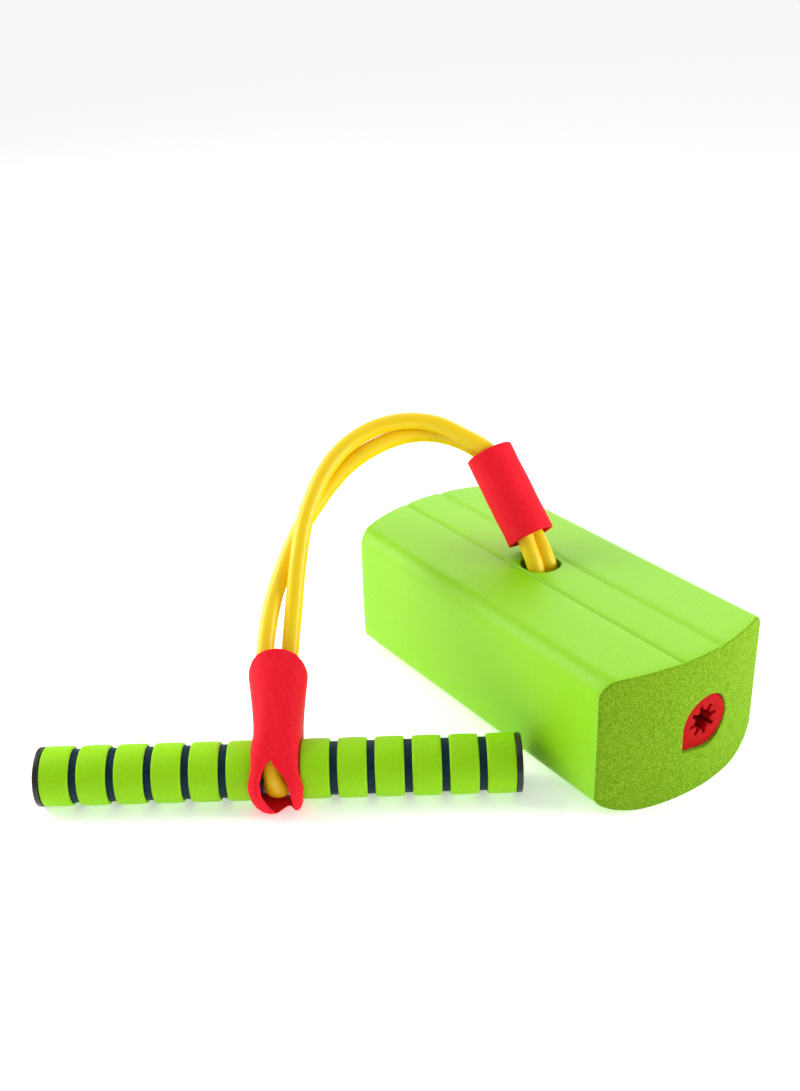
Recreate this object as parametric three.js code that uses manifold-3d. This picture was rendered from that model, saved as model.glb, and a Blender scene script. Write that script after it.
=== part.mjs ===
// Foam pogo jumper: a foam block that the feet stand on, a doubled rubber cord that rises out of its
// top, and a foam-covered cross handle held in the cord's end loop. The handle is laid on the floor in
// front of the block, so the cord stands in an arch. Millimetres, +Z up. The origin is the centre of
// the block's underside; +X is the block's long way, and the handle lies on the -Y side.
import * as THREE from 'three';
import { mergeVertices } from 'three/addons/utils/BufferGeometryUtils.js';
import Module from 'manifold-3d';

const wasm = await Module();
wasm.setup();

const GAP = 0.3; // clearance between pieces that touch

// Block
const BLOCK_LENGTH = 250;
const BLOCK_WIDTH = 121;
const SHOULDER_HEIGHT = 86;
const CROWN = 1.2; // rise of the top between its rounded shoulders
const END_BULGE = 15; // the end faces are barrel shaped
const TOP_RADIUS = 11;
const BOTTOM_RADIUS_Y = 32;
const BOTTOM_RADIUS_Z = 13.5;
const GROOVES_Y = [12.6, -14]; // the two grooves along the top
const GROOVE_DEPTH = 1.2;
const GROOVE_HALF_WIDTH = 1.1;

// Core plugs in the ends of the block, and the rod between them that the cord loops round
const CORE_Y = 5;
const CORE_Z = 43;
const CORE_RADIUS = 16.5;
const CORE_TIP = new THREE.Vector2(-16.3, -13.8); // the teardrop's point, from its centre
const CORE_LENGTH = 68;
const CORE_END_X = 122.6;
const STAR_OUTER = 10.3;
const STAR_INNER = 6.3;
const STAR_POINTS = 8;
const ROD_RADIUS = 5.5;
const ROD_LENGTH = 170;

// Well in the block for the cord
const MOUTH = new THREE.Vector3(-6, 0, 87);
const MOUTH_RADIUS = 12;
const WELL_CENTRE = new THREE.Vector2(-3.5, 4.5);

// Cord: two strands of one loop, side by side
const STRAND_RADIUS = 5;
const STRAND_SIDES = 10;
const LINK_STEP = 15; // length of tube between two rings of corners
const LOOP_STEP = 6;
const ARCH_NORMAL = new THREE.Vector3(-0.714, 0.268, -0.647).normalize();

// The cord's middle line from the rod to the handle: x, y, z, half the distance between the strands,
// and how far the pair is turned about the line, in degrees.
const ROUTE = [
  [-3.5, 5, 48.5, 10.7, -70],
  [-3.5, 4.1, 59.5, 8.7, -70],
  [-3.7, 2.3, 70.3, 6.5, -70],
  [-5.5, 0.3, 85.9, 5.3, -68],
  [-15.2, 1, 98.2, 5.3, -60],
  [-25.8, 2.1, 109.8, 5.3, -43],
  [-36.3, 2.9, 121.5, 5.3, -23],
  [-46.9, 2.2, 133.1, 5.3, -6],
  [-57.9, -2.6, 143.3, 5.3, -4],
  [-68.1, -11.9, 150.7, 5.3, -3],
  [-77.3, -23.1, 156.3, 5.3, 14],
  [-84.6, -36.8, 158.6, 5.3, 33],
  [-89.3, -51.7, 157.6, 5.3, 54],
  [-91.5, -66.9, 153.8, 5.3, 61],
  [-91.4, -81.6, 147.6, 5.3, 50],
  [-89, -95, 139.3, 5.3, 36],
  [-85, -107.1, 129.9, 5.3, 17],
  [-80.2, -118.3, 120, 5.3, -3],
  [-74.2, -128, 109.3, 5.4, -26],
  [-67.6, -137, 98.3, 5.6, -48],
  [-60.6, -145.4, 87, 6.2, -73],
  [-53.2, -153.2, 75.5, 6.8, -88],
  [-45.3, -160.5, 63.9, 7, -97],
  [-37.9, -166.7, 53.2, 6.9, -124],
  [-30.6, -172.5, 42.6, 7.5, -152],
  [-23.1, -178.1, 32.1, 9.4, -169],
];
const LINK_ROWS = [2, 6, 10, 14, 18, 22]; // where one length of strand ends and the next begins
const ROD_LOOP_X = -3.5;
const ROD_LOOP_RADIUS = 10.8; // from the rod's axis to the cord's middle
const HANDLE_LOOP_RADIUS = 10.5;
const HANDLE_LOOP_LEAN = 2.3; // how far along the handle the loop's lowest point is
const LOOP_SPREAD = 0.42; // how much wider the cord is pressed at that point, as a share
const LOOP_PARTS = 6; // points in each half turn, less one

// Lower sleeve, a foam tube on the cord
const LOWER_SLEEVE_RADIUS = 14.5;
const LOWER_SLEEVE_BORE = 11.9;
const LOWER_SLEEVE_START = new THREE.Vector3(-16.9, 1.4, 99.6);
const LOWER_SLEEVE_END = new THREE.Vector3(-56, 0.6, 141.7);

// Handle
const HANDLE_CENTRE = new THREE.Vector3(-10.15, -183.05, 16.6);
const HANDLE_AXIS = new THREE.Vector3(0.5672, 0.8236, 0).normalize();
const LOOP_OFFSET = -3.6; // the loop's place along the handle
const TUBE_RADIUS = 5.2;
const TUBE_BORE = 3.7;
const GRIP_START = 9.5; // each grip's inner end, from the handle's middle
const GRIP_END = 129.4;
const GRIP_RADIUS = 14.6;
const RING_RADIUS = 16.5;
const RING_START = 12;
const RING_PITCH = 20.3;
const RING_WIDTH = 16;
const RINGS_PER_SIDE = 6;
const CAP_RADIUS = 16.4;
const CAP_THICKNESS = 3.4;
const CAP_SPIGOT = 12;

// Upper sleeve, a flattened foam tube over the cord's end loop and the handle, with its back on the
// floor. Each row: distance from the handle's axis up the cord, middle and half width along the handle,
// front and back across it, and how square the section is (2 is an ellipse).
const UPPER_SLEEVE = [
  [-24.6, 4.3, 8.4, -9, -3.4, 2.5],
  [-23, 4, 10.2, -11, -1.6, 2.6],
  [-21, 3.6, 12.2, -13.5, 0.7, 3],
  [-18, 2.9, 13.8, -16.5, 4.1, 3.5],
  [-15, 2.5, 14.8, -18.5, 7.5, 4],
  [-10, 2.3, 16, -20, 13.2, 4],
  [-6, 2.2, 16, -20.4, 17.6, 4],
  [0, 1.9, 15.2, -20.6, 20, 4],
  [6, 1.8, 14.6, -20.6, 20.4, 4],
  [14, 2.4, 13.6, -20.2, 20.2, 4],
  [18, 2.9, 13.3, -19.8, 19.8, 3.6],
  [24, 2.9, 13.5, -18.8, 18.8, 3.2],
  [33, 2.9, 14.3, -17.2, 17.2, 2.8],
  [42, 2.9, 15.5, -15.6, 15.6, 2.5],
  [50, 2.9, 16.5, -14.2, 14.2, 2.4],
  [60, 2.9, 16.6, -12.6, 12.6, 2.4],
  [67, 3, 16.4, -11.8, 11.8, 2.4],
];
const SLEEVE_SIDES = 56;
const SLEEVE_WALL = 2.8;
const SLEEVE_REACH = 30; // further than the sleeve goes across the handle
const NOTCH_FRONT = -21; // the front notch goes from here
const NOTCH_BACK = -6; // back to here

// Seen from the front, as [along the handle, up the cord]
const SLEEVE_OUTLINE = [
  [25, 48], [19.4, 48.8], [19, 53.8], [16.9, 58.8], [13.4, 62.6], [7.9, 65], [3.3, 65.7],
  [-2.7, 65.2], [-7.9, 63.2], [-11.1, 59.7], [-13.2, 54.8], [-13.7, 48.6], [-25, 48], [-25, -14],
  [-12, -14], [-10.9, -18], [-8.4, -21], [-5, -23.4], [-1.2, -24.4], [2.2, -24], [4.3, -22.7],
  [6.4, -20.9], [8, -19.8], [9.4, -19.9], [11.1, -22], [13.2, -23.2], [15.3, -21.8], [16.5, -19],
  [17, -14], [25, -14],
];
const BACK_NOTCH = [[0, 6], [-6, -8], [-6, -12], [8, -12], [8, -8]];

// The front notch's corners: the third number is how far each moves along the handle per unit of depth
const FRONT_NOTCH = [
  [-1, 5.5, 0.4], [-4.6, 0.8, 0.9], [-7.2, -3.4, 0.9], [-8.9, -8.6, 0.9], [-9.4, -15.2, 0.9],
  [-9.4, -30, 0.9], [11.9, -30, 0], [11.7, -20.4, 0], [10.8, -15.8, 0], [9.5, -9.8, 0],
  [6.2, -3.8, 0], [1.5, 0.9, 0],
];

// Bores across the sleeve about the handle's axis: [radius, from, to]
const SLEEVE_BORES = [
  [17, -40, -8],
  [14.9, -9, -3],
  [16.1, -3.2, 10.2],
  [14.9, 12.8, 40],
  [17, 15.2, 40],
];

// Materials
function finish(colour, roughness, metalness = 0) {
  return new THREE.MeshStandardMaterial({ color: colour, roughness, metalness });
}
const greenFoam = finish(0x92d42c, 0.75);
const darkFoam = finish(0x14242e, 0.8);
const redFoam = finish(0xf9303f, 0.8);
const redRubber = finish(0xd8202c, 0.55);
const yellowRubber = finish(0xfbd21e, 0.35);
const blackPlastic = finish(0x1c1e1a, 0.3);
const tubePlastic = finish(0xdcdcd8, 0.4);

// Group of the whole object
const pogo = new THREE.Group();

function addMesh(name, geometry, material) {
  const mesh = new THREE.Mesh(geometry, material);
  mesh.name = name;
  pogo.add(mesh);
  return mesh;
}

// Boolean helpers
function toSolid(geometry) {
  const bare = geometry.index ? geometry.toNonIndexed() : geometry.clone();
  bare.deleteAttribute('normal');
  bare.deleteAttribute('uv');
  const merged = mergeVertices(bare, 1e-4);
  return new wasm.Manifold(
    new wasm.Mesh({
      numProp: 3,
      vertProperties: new Float32Array(merged.attributes.position.array),
      triVerts: new Uint32Array(merged.index.array),
    }),
  );
}

function toGeometry(solid) {
  const mesh = solid.getMesh();
  const geometry = new THREE.BufferGeometry();
  geometry.setAttribute('position', new THREE.BufferAttribute(mesh.vertProperties, 3));
  geometry.setIndex(new THREE.BufferAttribute(mesh.triVerts, 1));
  return geometry;
}

// Placement helpers
function alongX(geometry) {
  // a shape drawn as (y, z) and extruded along its own +z comes to lie along +X
  const turn = new THREE.Matrix4().makeBasis(
    new THREE.Vector3(0, 1, 0),
    new THREE.Vector3(0, 0, 1),
    new THREE.Vector3(1, 0, 0),
  );
  return geometry.applyMatrix4(turn);
}

function standing(geometry) {
  // a lathe's own axis is +y; this stands it up along +Z
  return geometry.rotateX(Math.PI / 2);
}

function frameAt(origin, x, y, z) {
  return new THREE.Matrix4().makeBasis(x, y, z).setPosition(origin);
}

function tubeProfile(inner, outer, from, to, edge = 0.6) {
  return [
    [inner, from],
    [outer - edge, from],
    [outer, from + edge],
    [outer, to - edge],
    [outer - edge, to],
    [inner, to],
    [inner, from],
  ].map(([r, h]) => new THREE.Vector2(r, h));
}

// Block
function blockSection() {
  const half = BLOCK_WIDTH / 2;
  const flatTop = half - TOP_RADIUS;
  const topAt = (y) => SHOULDER_HEIGHT + CROWN * (1 - (y / flatTop) ** 2);
  const shape = new THREE.Shape();
  const bottomY = half - BOTTOM_RADIUS_Y;
  shape.moveTo(-bottomY, 0);
  shape.lineTo(bottomY, 0);
  shape.absellipse(bottomY, BOTTOM_RADIUS_Z, BOTTOM_RADIUS_Y, BOTTOM_RADIUS_Z, -Math.PI / 2, 0, false);
  shape.absarc(flatTop, SHOULDER_HEIGHT - TOP_RADIUS, TOP_RADIUS, 0, Math.PI / 2, false);
  for (const y of GROOVES_Y) {
    shape.lineTo(y + GROOVE_HALF_WIDTH, topAt(y + GROOVE_HALF_WIDTH));
    shape.lineTo(y, topAt(y) - GROOVE_DEPTH);
    shape.lineTo(y - GROOVE_HALF_WIDTH, topAt(y - GROOVE_HALF_WIDTH));
  }
  shape.absarc(-flatTop, SHOULDER_HEIGHT - TOP_RADIUS, TOP_RADIUS, Math.PI / 2, Math.PI, false);
  shape.absellipse(-bottomY, BOTTOM_RADIUS_Z, BOTTOM_RADIUS_Y, BOTTOM_RADIUS_Z, Math.PI, Math.PI * 1.5, false);
  return shape;
}

function blockPlan() {
  const half = BLOCK_WIDTH / 2 + 1;
  const steps = 16;
  const endX = (y) => BLOCK_LENGTH / 2 - END_BULGE * (y / (BLOCK_WIDTH / 2)) ** 2;
  const points = [];
  for (const side of [1, -1]) {
    for (let i = 0; i <= steps; i += 1) {
      const y = side * (-half + (2 * half * i) / steps);
      points.push(new THREE.Vector2(side * endX(y), y));
    }
  }
  return new THREE.Shape(points);
}

function teardrop(radius, tip) {
  const reach = tip.length();
  const towards = tip.angle();
  const half = Math.acos(radius / reach);
  const shape = new THREE.Shape();
  shape.moveTo(tip.x, tip.y);
  shape.absarc(0, 0, radius, towards + half, towards - half + 2 * Math.PI, false);
  return shape;
}

function plain(depth, curveSegments = 12) {
  return { depth, bevelEnabled: false, curveSegments };
}

function teardropBar(radius, tip, fromX, length) {
  const bar = alongX(new THREE.ExtrudeGeometry(teardrop(radius, tip), plain(length, 20)));
  return bar.translate(fromX, CORE_Y, CORE_Z);
}

function wellSolid() {
  const bulb = [
    [0, 26],
    [12, 26],
    [17, 32],
    [17, 54],
    [12.5, 80],
    [0, 80],
  ].map(([r, h]) => new THREE.Vector2(r, h));
  const lower = standing(new THREE.LatheGeometry(bulb, 24)).translate(WELL_CENTRE.x, WELL_CENTRE.y, 0);
  const depth = 30;
  const upper = standing(new THREE.CylinderGeometry(MOUTH_RADIUS, MOUTH_RADIUS, depth, 32));
  upper.translate(MOUTH.x, MOUTH.y, 95 - depth / 2);
  return toSolid(lower).add(toSolid(upper));
}

function buildBlock() {
  const bar = alongX(new THREE.ExtrudeGeometry(blockSection(), plain(BLOCK_LENGTH + 2, 8)));
  bar.translate(-BLOCK_LENGTH / 2 - 1, 0, 0);
  const plan = new THREE.ExtrudeGeometry(blockPlan(), plain(SHOULDER_HEIGHT + 20));
  plan.translate(0, 0, -10);
  let block = toSolid(bar).intersect(toSolid(plan));
  const channelTip = CORE_TIP.clone().setLength(CORE_TIP.length() + 2 * GAP);
  const channelLength = CORE_LENGTH + 10;
  for (const fromX of [CORE_END_X - CORE_LENGTH - GAP, -CORE_END_X + CORE_LENGTH + GAP - channelLength]) {
    block = block.subtract(toSolid(teardropBar(CORE_RADIUS + GAP, channelTip, fromX, channelLength)));
  }
  const rodBore = new THREE.CylinderGeometry(ROD_RADIUS + GAP, ROD_RADIUS + GAP, ROD_LENGTH, 24);
  rodBore.rotateZ(Math.PI / 2).translate(0, CORE_Y, CORE_Z);
  block = block.subtract(toSolid(rodBore)).subtract(wellSolid());
  addMesh('foam_base', toGeometry(block), greenFoam);
}

// Core plugs and rod
function starHole() {
  const points = [];
  for (let i = 0; i < 2 * STAR_POINTS; i += 1) {
    const radius = i % 2 ? STAR_INNER : STAR_OUTER;
    const angle = (i * Math.PI) / STAR_POINTS;
    points.push(new THREE.Vector2(radius * Math.cos(angle), radius * Math.sin(angle)));
  }
  return new THREE.Path(points);
}

function buildCores() {
  const section = teardrop(CORE_RADIUS, CORE_TIP);
  section.holes.push(starHole());
  for (const [name, fromX] of [
    ['core_plug_near', CORE_END_X - CORE_LENGTH],
    ['core_plug_far', -CORE_END_X],
  ]) {
    const plug = alongX(new THREE.ExtrudeGeometry(section, plain(CORE_LENGTH, 20)));
    addMesh(name, plug, redRubber).position.set(fromX, CORE_Y, CORE_Z);
  }
  const rod = new THREE.CylinderGeometry(ROD_RADIUS, ROD_RADIUS, ROD_LENGTH, 24);
  const mesh = addMesh('anchor_rod', rod.rotateZ(Math.PI / 2), tubePlastic);
  mesh.position.set(0, CORE_Y, CORE_Z);
}

// Frame of the holder: up the cord, along the handle, and across both
const loopCentre = HANDLE_CENTRE.clone().addScaledVector(HANDLE_AXIS, LOOP_OFFSET);
const cordEnd = new THREE.Vector3(...ROUTE[ROUTE.length - 2].slice(0, 3));
const holderUp = cordEnd.sub(loopCentre);
holderUp.addScaledVector(HANDLE_AXIS, -holderUp.dot(HANDLE_AXIS)).normalize();
const holderFront = new THREE.Vector3().crossVectors(HANDLE_AXIS, holderUp);
const holderBack = holderFront.clone().negate();

// Cord
function pairDirection(tangent, turn) {
  // the unit vector from the middle line to the front strand
  const normal = ARCH_NORMAL.clone().addScaledVector(tangent, -ARCH_NORMAL.dot(tangent)).normalize();
  const outward = new THREE.Vector3().crossVectors(normal, tangent);
  const angle = THREE.MathUtils.degToRad(turn);
  return normal.multiplyScalar(-Math.cos(angle)).addScaledVector(outward, Math.sin(angle));
}

function strandPoints(side) {
  const middle = ROUTE.map(([x, y, z]) => new THREE.Vector3(x, y, z));
  return middle.map((point, i) => {
    const before = middle[Math.max(i - 1, 0)];
    const after = middle[Math.min(i + 1, middle.length - 1)];
    const tangent = new THREE.Vector3().subVectors(after, before).normalize();
    const [, , , half, turn] = ROUTE[i];
    return point.clone().addScaledVector(pairDirection(tangent, turn), side * half);
  });
}

function halfTurn(centre, across, down, radius, lean = new THREE.Vector3()) {
  // points on a half circle, from the across side by way of the down side to the other
  const points = [];
  for (let i = 0; i <= LOOP_PARTS; i += 1) {
    const angle = (i * Math.PI) / LOOP_PARTS;
    const point = centre.clone().addScaledVector(across, radius * Math.cos(angle));
    point.addScaledVector(down, radius * Math.sin(angle));
    points.push(point.addScaledVector(lean, Math.sin(angle)));
  }
  return points;
}

function cordLoop() {
  // the whole closed cord: front strand, round the handle, back strand, round the rod
  const rodCentre = new THREE.Vector3(ROD_LOOP_X, CORE_Y, CORE_Z);
  const along = new THREE.Vector3(0, 1, 0);
  const below = new THREE.Vector3(0, 0, -1);
  const holderDown = holderUp.clone().negate();
  const lean = HANDLE_AXIS.clone().multiplyScalar(HANDLE_LOOP_LEAN);
  const points = [
    ...strandPoints(1),
    ...halfTurn(loopCentre, holderBack, holderDown, HANDLE_LOOP_RADIUS, lean),
    ...strandPoints(-1).reverse(),
    ...halfTurn(rodCentre, along, below, ROD_LOOP_RADIUS),
  ];
  return new THREE.CatmullRomCurve3(points, true, 'centripetal');
}

// The stretch of a closed curve between two points of its list, less half the gap at both ends
class Stretch extends THREE.Curve {
  constructor(curve, from, to) {
    super();
    const count = curve.points.length;
    const spacing = (row) => curve.points[row % count].distanceTo(curve.points[(row + 1) % count]);
    this.curve = curve;
    this.from = (from + GAP / 2 / spacing(from)) / count;
    this.to = (to - GAP / 2 / spacing(to - 1)) / count;
  }

  getPoint(t, target = new THREE.Vector3()) {
    return this.curve.getPoint((this.from + (this.to - this.from) * t) % 1, target);
  }
}

function pressWide(tube) {
  // under the handle the cord is pressed wide along it, most at its lowest
  const position = tube.attributes.position;
  const vertex = new THREE.Vector3();
  for (let i = 0; i < position.count; i += 1) {
    vertex.fromBufferAttribute(position, i).sub(loopCentre);
    const down = -vertex.dot(holderUp);
    const share = Math.max(down, 0) / Math.hypot(down, vertex.dot(holderBack));
    const off = vertex.dot(HANDLE_AXIS) - HANDLE_LOOP_LEAN * share;
    vertex.addScaledVector(HANDLE_AXIS, off * LOOP_SPREAD * share ** 2).add(loopCentre);
    position.setXYZ(i, vertex.x, vertex.y, vertex.z);
  }
}

function addCord(name, curve, from, to, spacing) {
  const path = new Stretch(curve, from, to);
  const section = new THREE.Shape();
  for (let i = 0; i < STRAND_SIDES; i += 1) {
    const angle = (i * 2 * Math.PI) / STRAND_SIDES;
    const [x, y] = [STRAND_RADIUS * Math.cos(angle), STRAND_RADIUS * Math.sin(angle)];
    if (i === 0) section.moveTo(x, y);
    else section.lineTo(x, y);
  }
  const steps = Math.round(path.getLength() / spacing);
  const tube = new THREE.ExtrudeGeometry(section, { steps, extrudePath: path, bevelEnabled: false });
  if (name === 'handle_loop') pressWide(tube);
  addMesh(name, tube, yellowRubber);
}

function buildCord() {
  const curve = cordLoop();
  const count = curve.points.length;
  const mirrored = (row) => 2 * ROUTE.length + LOOP_PARTS - row; // the same row on the back strand
  const last = LINK_ROWS.length - 1;
  for (let link = 0; link < last; link += 1) {
    const [from, to] = LINK_ROWS.slice(link, link + 2);
    addCord(`cord_front_${link + 1}`, curve, from, to, LINK_STEP);
    addCord(`cord_back_${link + 1}`, curve, mirrored(to), mirrored(from), LINK_STEP);
  }
  addCord('handle_loop', curve, LINK_ROWS[last], mirrored(LINK_ROWS[last]), LOOP_STEP);
  addCord('anchor_loop', curve, mirrored(LINK_ROWS[0]), count + LINK_ROWS[0], LOOP_STEP);
}

// Sleeves
function buildLowerSleeve() {
  const along = new THREE.Vector3().subVectors(LOWER_SLEEVE_END, LOWER_SLEEVE_START);
  const profile = tubeProfile(LOWER_SLEEVE_BORE, LOWER_SLEEVE_RADIUS, 0, along.length(), 1);
  const mesh = addMesh('lower_sleeve', new THREE.LatheGeometry(profile, 36), redFoam);
  mesh.position.copy(LOWER_SLEEVE_START);
  mesh.quaternion.setFromUnitVectors(new THREE.Vector3(0, 1, 0), along.normalize());
}

function sleeveBar(inset, overrun) {
  // a bar through the sleeve's rows, smaller by the inset all round and longer at both ends
  const last = UPPER_SLEEVE.length - 1;
  const bar = new THREE.CylinderGeometry(1, 1, last, SLEEVE_SIDES, last).translate(0, last / 2, 0);
  const position = bar.rotateX(Math.PI / 2).attributes.position;
  for (let i = 0; i < position.count; i += 1) {
    const row = Math.round(position.getZ(i));
    const [height, middle, half, front, back, power] = UPPER_SLEEVE[row];
    const [x, y] = [position.getX(i), position.getY(i)];
    const spread = Math.max(Math.abs(x) ** power + Math.abs(y) ** power, 0.01) ** (-1 / power);
    const depth = Math.max((back - front) / 2 - inset, GAP);
    const end = row === 0 ? -overrun : (row === last) * overrun;
    const across = (front + back) / 2 + y * spread * depth;
    position.setXYZ(i, middle + x * spread * (half - inset), across, height + end);
  }
  return toSolid(bar);
}

function sleevePrism(corners, from, to) {
  // a shape drawn from the front, carried across the handle; its corners may move along as they go
  const shape = new THREE.Shape(corners.map(([x, height]) => new THREE.Vector2(x, height)));
  const prism = new THREE.ExtrudeGeometry(shape, plain(to - from));
  const position = prism.rotateX(Math.PI / 2).translate(0, to, 0).attributes.position;
  for (let i = 0; i < position.count; i += 1) {
    const [x, height] = [position.getX(i), position.getZ(i)];
    const corner = corners.find((each) => Math.hypot(each[0] - x, each[1] - height) < GAP);
    const [, , drift = 0] = corner;
    position.setX(i, x + drift * (position.getY(i) - from));
  }
  return toSolid(prism);
}

function buildUpperSleeve() {
  let sleeve = sleeveBar(0, 0).subtract(sleeveBar(SLEEVE_WALL, 1));
  sleeve = sleeve.intersect(sleevePrism(SLEEVE_OUTLINE, -SLEEVE_REACH, SLEEVE_REACH));
  sleeve = sleeve.subtract(sleevePrism(FRONT_NOTCH, NOTCH_FRONT, NOTCH_BACK));
  sleeve = sleeve.subtract(sleevePrism(BACK_NOTCH, 0, SLEEVE_REACH));
  for (const [radius, from, to] of SLEEVE_BORES) {
    const bore = new THREE.CylinderGeometry(radius, radius, to - from, 48).rotateZ(Math.PI / 2);
    sleeve = sleeve.subtract(toSolid(bore.translate((from + to) / 2, 0, 0)));
  }
  const geometry = toGeometry(sleeve);
  geometry.applyMatrix4(frameAt(loopCentre, HANDLE_AXIS, holderBack, holderUp));
  const floor = new THREE.BoxGeometry(200, 200, 40).translate(loopCentre.x, loopCentre.y, -20 + GAP);
  addMesh('upper_sleeve', toGeometry(toSolid(geometry).subtract(toSolid(floor))), redFoam);
}

// Handle
function addTurned(name, profile, sides, material, mirrored = false) {
  // a turned piece on the handle's axis; mirrored pieces are the left-hand ones
  const mesh = addMesh(name, new THREE.LatheGeometry(profile, sides), material);
  const axis = mirrored ? HANDLE_AXIS.clone().negate() : HANDLE_AXIS;
  mesh.position.copy(HANDLE_CENTRE);
  mesh.quaternion.setFromUnitVectors(new THREE.Vector3(0, 1, 0), axis);
}

function capProfile() {
  return [
    [0, GRIP_END - CAP_SPIGOT],
    [TUBE_BORE - GAP, GRIP_END - CAP_SPIGOT],
    [TUBE_BORE - GAP, GRIP_END + GAP],
    [CAP_RADIUS, GRIP_END + GAP],
    [CAP_RADIUS, GRIP_END + CAP_THICKNESS - 1],
    [CAP_RADIUS - 1, GRIP_END + CAP_THICKNESS],
    [0, GRIP_END + CAP_THICKNESS],
  ].map(([r, h]) => new THREE.Vector2(r, h));
}

function buildHandle() {
  addTurned('handle_tube', tubeProfile(TUBE_BORE, TUBE_RADIUS, -GRIP_END, GRIP_END, 0.3), 24, tubePlastic);
  for (const [hand, mirrored] of [['right', false], ['left', true]]) {
    const grip = tubeProfile(TUBE_RADIUS + GAP, GRIP_RADIUS, GRIP_START, GRIP_END);
    addTurned(`grip_foam_${hand}`, grip, 40, darkFoam, mirrored);
    for (let i = 0; i < RINGS_PER_SIDE; i += 1) {
      const start = RING_START + i * RING_PITCH;
      const ring = tubeProfile(GRIP_RADIUS + GAP, RING_RADIUS, start, start + RING_WIDTH, 0.5);
      addTurned(`grip_ring_${hand}_${i + 1}`, ring, 40, greenFoam, mirrored);
    }
    addTurned(`end_cap_${hand}`, capProfile(), 40, blackPlastic, mirrored);
  }
}

buildBlock();
buildCores();
buildCord();
buildLowerSleeve();
buildUpperSleeve();
buildHandle();

export default pogo;
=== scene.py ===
import math

import bmesh
import bpy
from mathutils import Matrix, Vector, noise


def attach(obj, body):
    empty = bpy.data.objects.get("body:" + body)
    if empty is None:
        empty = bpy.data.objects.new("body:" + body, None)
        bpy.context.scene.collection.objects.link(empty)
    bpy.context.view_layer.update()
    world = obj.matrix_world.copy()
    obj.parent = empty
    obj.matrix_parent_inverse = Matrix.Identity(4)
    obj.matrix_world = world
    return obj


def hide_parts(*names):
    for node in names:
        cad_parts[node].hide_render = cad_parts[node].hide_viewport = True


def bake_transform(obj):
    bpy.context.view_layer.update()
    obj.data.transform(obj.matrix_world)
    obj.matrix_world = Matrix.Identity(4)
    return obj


# A foam pogo jumper: a block to stand on, a doubled rubber cord and a cross handle, lying as in use
# at rest. Sizes are in millimetres and turned to metres by MM, except where metres are named.
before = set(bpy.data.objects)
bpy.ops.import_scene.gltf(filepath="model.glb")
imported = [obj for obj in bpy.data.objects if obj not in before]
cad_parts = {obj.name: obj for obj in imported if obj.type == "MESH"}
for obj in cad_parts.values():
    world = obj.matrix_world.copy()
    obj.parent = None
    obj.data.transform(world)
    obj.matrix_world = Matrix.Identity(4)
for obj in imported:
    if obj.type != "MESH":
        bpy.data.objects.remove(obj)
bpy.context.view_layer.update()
MM = 0.001
scene = bpy.context.scene


# ---------------------------------------------------------------- camera
CAMERA_AT = Vector((0.49021, -0.43675, 0.43643))
CAMERA_RIGHT = Vector((0.5734, 0.8186, -0.0314))
CAMERA_UP = Vector((-0.3564, 0.2837, 0.8902))
LENS_MM, SENSOR_MM = 41.08, 36.0


def make_camera():
    data = bpy.data.cameras.new("camera")
    data.lens = LENS_MM
    data.sensor_width = SENSOR_MM
    data.sensor_fit = "AUTO"
    data.clip_start = 0.01
    camera = bpy.data.objects.new("camera", data)
    scene.collection.objects.link(camera)
    right = CAMERA_RIGHT.normalized()
    up = (CAMERA_UP - right * CAMERA_UP.dot(right)).normalized()
    back = right.cross(up)
    camera.matrix_world = Matrix(
        (
            (right.x, up.x, back.x, CAMERA_AT.x),
            (right.y, up.y, back.y, CAMERA_AT.y),
            (right.z, up.z, back.z, CAMERA_AT.z),
            (0, 0, 0, 1),
        )
    )
    scene.camera = camera


make_camera()


# ---------------------------------------------------------------- materials
def linear(rgb):
    """A colour of 0 to 255 as linear values, with its alpha."""
    out = []
    for value in rgb:
        c = value / 255
        out.append(c / 12.92 if c <= 0.04045 else ((c + 0.055) / 1.055) ** 2.4)
    return (*out, 1.0)


def new_material(name, rgb, roughness, specular=0.5):
    material = bpy.data.materials.new(name)
    material.use_nodes = True
    shader = material.node_tree.nodes["Principled BSDF"]
    shader.inputs["Base Color"].default_value = linear(rgb)
    shader.inputs["Roughness"].default_value = roughness
    shader.inputs["Specular IOR Level"].default_value = specular
    return material, shader


def add_node(material, kind):
    return material.node_tree.nodes.new(kind)


def link(material, output, target):
    material.node_tree.links.new(output, target)


def object_coordinates(material):
    return add_node(material, "ShaderNodeTexCoord").outputs["Object"]


def noise_node(material, scale, detail=3.0, rough=0.55):
    node = add_node(material, "ShaderNodeTexNoise")
    node.inputs["Scale"].default_value = scale
    node.inputs["Detail"].default_value = detail
    node.inputs["Roughness"].default_value = rough
    link(material, object_coordinates(material), node.inputs["Vector"])
    return node.outputs["Fac"]


def cells_node(material, scale):
    node = add_node(material, "ShaderNodeTexVoronoi")
    node.inputs["Scale"].default_value = scale
    link(material, object_coordinates(material), node.inputs["Vector"])
    return node.outputs["Distance"]


def scaled_sum(material, value, factor, added):
    """value times factor, plus added."""
    node = add_node(material, "ShaderNodeMath")
    node.operation = "MULTIPLY_ADD"
    link(material, value, node.inputs[0])
    node.inputs[1].default_value = factor
    link(material, added, node.inputs[2])
    return node.outputs[0]


def ramp(material, value, places, tones):
    """A colour ramp over value, with one tone at each place."""
    node = add_node(material, "ShaderNodeValToRGB")
    elements = node.color_ramp.elements
    while len(elements) < len(tones):
        elements.new(0.5)
    for element, place, rgb in zip(elements, places, tones):
        element.position = place
        element.color = linear(rgb)
    link(material, value, node.inputs["Fac"])
    return node.outputs["Color"]


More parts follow.
